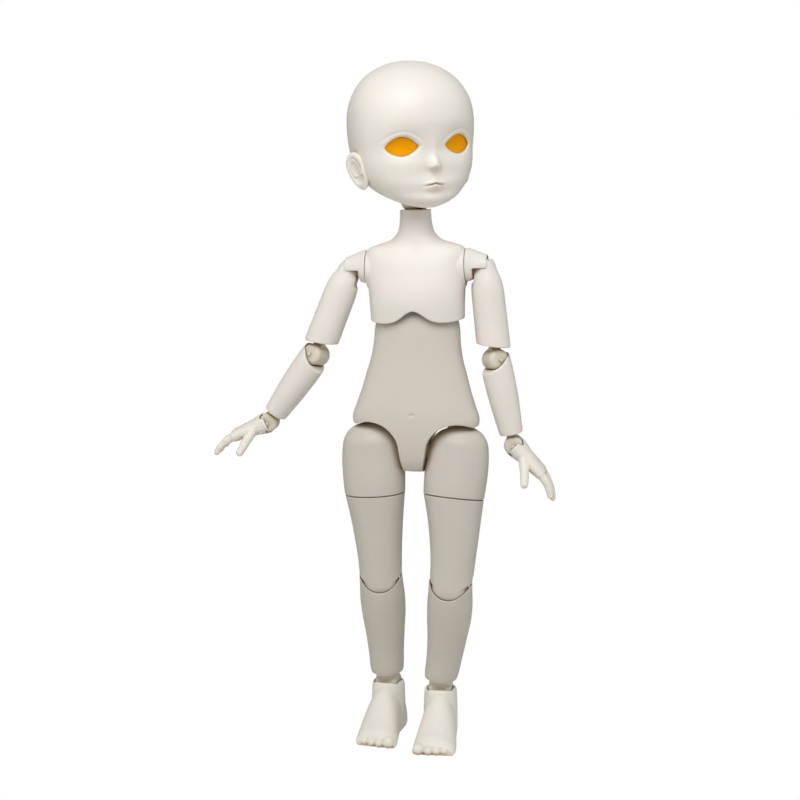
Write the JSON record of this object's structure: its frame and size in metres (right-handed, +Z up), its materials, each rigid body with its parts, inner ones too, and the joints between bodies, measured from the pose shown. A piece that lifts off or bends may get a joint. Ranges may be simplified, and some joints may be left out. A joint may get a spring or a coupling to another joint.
{
  "type": "ball jointed doll",
  "caption": "Standing jointed plastic doll with a large round head, bare moulded body, pinned ball joints at the limbs, waist and neck, and flat-soled feet.",
  "frame": {"origin": "on the floor, under the middle of the doll's width and depth in its standing pose", "axes": "+Z up, -Y the way the doll faces, +X the doll's own left"},
  "size_m": [0.1539, 0.057, 0.2998],
  "materials": {
    "ivory_plastic": "satin moulded plastic, ivory",
    "pin_steel": "plain turned pin",
    "eye_amber": "plain amber"
  },
  "bodies": {
    "pelvis": {"belly": "ivory_plastic"},
    "waist_core": {"waist_ball": "ivory_plastic", "waist_pin": "pin_steel"},
    "waist_post": {"waist_stem": "ivory_plastic"},
    "torso": {"chest": "ivory_plastic"},
    "neck_post": {"neck_stud": "ivory_plastic"},
    "neck_core": {"neck_ball": "ivory_plastic", "neck_pin": "pin_steel"},
    "head": {"face_shell": "ivory_plastic", "eye_left": "eye_amber", "eye_right": "eye_amber"},
    "head_back": {"head_cap": "ivory_plastic"},
    "shoulder_left": {"shoulder_peg_left": "ivory_plastic"},
    "upper_arm_left": {"upper_arm_left": "ivory_plastic", "shoulder_pin_left": "pin_steel"},
    "elbow_left": {"elbow_joint_left": "ivory_plastic"},
    "forearm_left": {"forearm_left": "ivory_plastic", "elbow_pin_left": "pin_steel"},
    "wrist_left": {"wrist_ball_left": "ivory_plastic"},
    "hand_left": {"hand_left": "ivory_plastic", "wrist_pin_left": "pin_steel"},
    "hip_left": {"hip_peg_left": "ivory_plastic"},
    "thigh_left": {"upper_thigh_left": "ivory_plastic", "hip_pin_left": "pin_steel"},
    "lower_thigh_left": {"lower_thigh_left": "ivory_plastic"},
    "shin_left": {"shin_left": "ivory_plastic", "knee_pin_left": "pin_steel"},
    "ankle_left": {"ankle_joint_left": "ivory_plastic"},
    "foot_left": {"foot_left": "ivory_plastic", "ankle_pin_left": "pin_steel"},
    "shoulder_right": {"shoulder_peg_right": "ivory_plastic"},
    "upper_arm_right": {"upper_arm_right": "ivory_plastic", "shoulder_pin_right": "pin_steel"},
    "elbow_right": {"elbow_joint_right": "ivory_plastic"},
    "forearm_right": {"forearm_right": "ivory_plastic", "elbow_pin_right": "pin_steel"},
    "wrist_right": {"wrist_ball_right": "ivory_plastic"},
    "hand_right": {"hand_right": "ivory_plastic", "wrist_pin_right": "pin_steel"},
    "hip_right": {"hip_peg_right": "ivory_plastic"},
    "thigh_right": {"upper_thigh_right": "ivory_plastic", "hip_pin_right": "pin_steel"},
    "lower_thigh_right": {"lower_thigh_right": "ivory_plastic"},
    "shin_right": {"shin_right": "ivory_plastic", "knee_pin_right": "pin_steel"},
    "ankle_right": {"ankle_joint_right": "ivory_plastic"},
    "foot_right": {"foot_right": "ivory_plastic", "ankle_pin_right": "pin_steel"}
  },
  "joints": [
    {"name": "waist_tilt", "type": "hinge", "parent": "pelvis", "child": "waist_core", "pos_m": [0.01573, -0.00164, 0.19019], "axis": [0.1633, 0.9866, 0], "range_deg": [-2.6, 3.8]},
    {"name": "waist_bend", "type": "hinge", "parent": "waist_core", "child": "waist_post", "pos_m": [0.01573, -0.00164, 0.19019], "axis": [0.9862, -0.1633, 0.0279], "range_deg": [-3, 6]},
    {"name": "waist_turn", "type": "hinge", "parent": "waist_post", "child": "torso", "pos_m": [0.01573, -0.00164, 0.19019], "axis": [-0.0275, 0.0046, 0.9996], "range_deg": [-4, 4]},
    {"name": "neck_turn", "type": "hinge", "parent": "torso", "child": "neck_post", "pos_m": [0.01448, -0.00042, 0.24117], "axis": [-0.0275, 0.0046, 0.9996], "range_deg": [-112.4, 47.6]},
    {"name": "neck_nod", "type": "hinge", "parent": "neck_post", "child": "neck_core", "pos_m": [0.01448, -0.00042, 0.24117], "axis": [0.9202, 0.3908, 0.0236], "range_deg": [-12, 10]},
    {"name": "neck_tilt", "type": "hinge", "parent": "neck_core", "child": "head", "pos_m": [0.01448, -0.00042, 0.24117], "axis": [-0.3905, 0.9205, -0.015], "range_deg": [-10, 14]},
    {"name": "cap_slide", "type": "slide", "parent": "head", "child": "head_back", "axis": [-0.3905, 0.9205, -0.015], "range_m": [0, 0.04]},
    {"name": "shoulder_swing_left", "type": "hinge", "parent": "torso", "child": "shoulder_left", "pos_m": [0.04465, -0.00643, 0.21152], "axis": [-0.9862, 0.1633, -0.0279], "range_deg": [-45, 170]},
    {"name": "shoulder_raise_left", "type": "hinge", "parent": "shoulder_left", "child": "upper_arm_left", "pos_m": [0.04465, -0.00643, 0.21152], "axis": [-0.1633, -0.9866, 0], "range_deg": [-5, 83]},
    {"name": "elbow_turn_left", "type": "hinge", "parent": "upper_arm_left", "child": "elbow_left", "pos_m": [0.04924, -0.00719, 0.17129], "axis": [-0.1134, 0.0188, 0.9934], "range_deg": [-35, 75]},
    {"name": "elbow_bend_left", "type": "hinge", "parent": "elbow_left", "child": "forearm_left", "pos_m": [0.04924, -0.00719, 0.17129], "axis": [-0.4283, 0.9012, -0.0659], "range_deg": [-11, 9]},
    {"name": "wrist_turn_left", "type": "hinge", "parent": "forearm_left", "child": "wrist_left", "pos_m": [0.05778, -0.00587, 0.13377], "axis": [-0.2218, -0.0341, 0.9745], "range_deg": [-55, 125]},
    {"name": "wrist_bend_left", "type": "hinge", "parent": "wrist_left", "child": "hand_left", "pos_m": [0.05778, -0.00587, 0.13377], "axis": [0.1516, 0.986, 0.069], "range_deg": [-8, 50]},
    {"name": "hip_swing_left", "type": "hinge", "parent": "pelvis", "child": "hip_left", "pos_m": [0.03354, -0.00459, 0.13027], "axis": [-0.9864, 0.1633, 0.0175], "range_deg": [-21.78, 16.22]},
    {"name": "hip_spread_left", "type": "hinge", "parent": "hip_left", "child": "thigh_left", "pos_m": [0.03354, -0.00459, 0.13027], "axis": [-0.1601, -0.98, 0.1181], "range_deg": [-0.14, 39.06]},
    {"name": "thigh_turn_left", "type": "hinge", "parent": "thigh_left", "child": "lower_thigh_left", "pos_m": [0.03146, -0.00659, 0.11088], "axis": [-0.1061, -0.1019, -0.9891], "range_deg": [-19, 36]},
    {"name": "knee_left", "type": "hinge", "parent": "lower_thigh_left", "child": "shin_left", "pos_m": [0.02712, -0.01075, 0.07043], "axis": [0.9678, -0.2389, -0.0792], "range_deg": [-20.77, 55.23]},
    {"name": "ankle_turn_left", "type": "hinge", "parent": "shin_left", "child": "ankle_left", "pos_m": [0.0262, 0.00173, 0.0215], "axis": [-0.0183, 0.2472, -0.9688], "range_deg": [-23.97, 24.03]},
    {"name": "ankle_bend_left", "type": "hinge", "parent": "ankle_left", "child": "foot_left", "pos_m": [0.0262, 0.00173, 0.0215], "axis": [0.9888, -0.139, -0.0541], "range_deg": [-5.98, 39.02]},
    {"name": "shoulder_swing_right", "type": "hinge", "parent": "torso", "child": "shoulder_right", "pos_m": [-0.01433, 0.00333, 0.20985], "axis": [-0.9862, 0.1633, -0.0279], "range_deg": [-45, 170]},
    {"name": "shoulder_raise_right", "type": "hinge", "parent": "shoulder_right", "child": "upper_arm_right", "pos_m": [-0.01433, 0.00333, 0.20985], "axis": [0.1633, 0.9866, 0], "range_deg": [-15.2, 64.8]},
    {"name": "elbow_turn_right", "type": "hinge", "parent": "upper_arm_right", "child": "elbow_right", "pos_m": [-0.02903, 0.00577, 0.17219], "axis": [-0.3632, 0.0601, -0.9298], "range_deg": [-25, 155]},
    {"name": "elbow_bend_right", "type": "hinge", "parent": "elbow_right", "child": "forearm_right", "pos_m": [-0.02903, 0.00577, 0.17219], "axis": [-0.5357, -0.83, 0.1556], "range_deg": [-2, 60]},
    {"name": "wrist_turn_right", "type": "hinge", "parent": "forearm_right", "child": "wrist_right", "pos_m": [-0.05056, 0.01388, 0.14132], "axis": [-0.5592, 0.2107, -0.8018], "range_deg": [-65, 115]},
    {"name": "wrist_bend_right", "type": "hinge", "parent": "wrist_right", "child": "hand_right", "pos_m": [-0.05056, 0.01388, 0.14132], "axis": [-0.2181, -0.9705, -0.1028], "range_deg": [-9, 76]},
    {"name": "hip_swing_right", "type": "hinge", "parent": "pelvis", "child": "hip_right", "pos_m": [-0.00414, 0.00165, 0.13093], "axis": [-0.9864, 0.1633, 0.0175], "range_deg": [-14.03, 23.97]},
    {"name": "hip_spread_right", "type": "hinge", "parent": "hip_right", "child": "thigh_right", "pos_m": [-0.00414, 0.00165, 0.13093], "axis": [0.1636, 0.9864, 0.0169], "range_deg": [-0.3, 38.9]},
    {"name": "thigh_turn_right", "type": "hinge", "parent": "thigh_right", "child": "lower_thigh_right", "pos_m": [-0.00311, 0.00181, 0.11136], "axis": [-0.0527, -0.0084, 0.9986], "range_deg": [-29, 36]},
    {"name": "knee_right", "type": "hinge", "parent": "lower_thigh_right", "child": "shin_right", "pos_m": [-0.00095, 0.00215, 0.07052], "axis": [0.9941, -0.095, 0.0517], "range_deg": [-12.83, 63.17]},
    {"name": "ankle_turn_right", "type": "hinge", "parent": "shin_right", "child": "ankle_right", "pos_m": [0.0027, 0.01373, 0.0215], "axis": [-0.0723, -0.2292, 0.9707], "range_deg": [-17.09, 20.91]},
    {"name": "ankle_bend_right", "type": "hinge", "parent": "ankle_right", "child": "foot_right", "pos_m": [0.0027, 0.01373, 0.0215], "axis": [0.9511, -0.309, -0.0021], "range_deg": [-6.09, 38.91]}
  ]
}
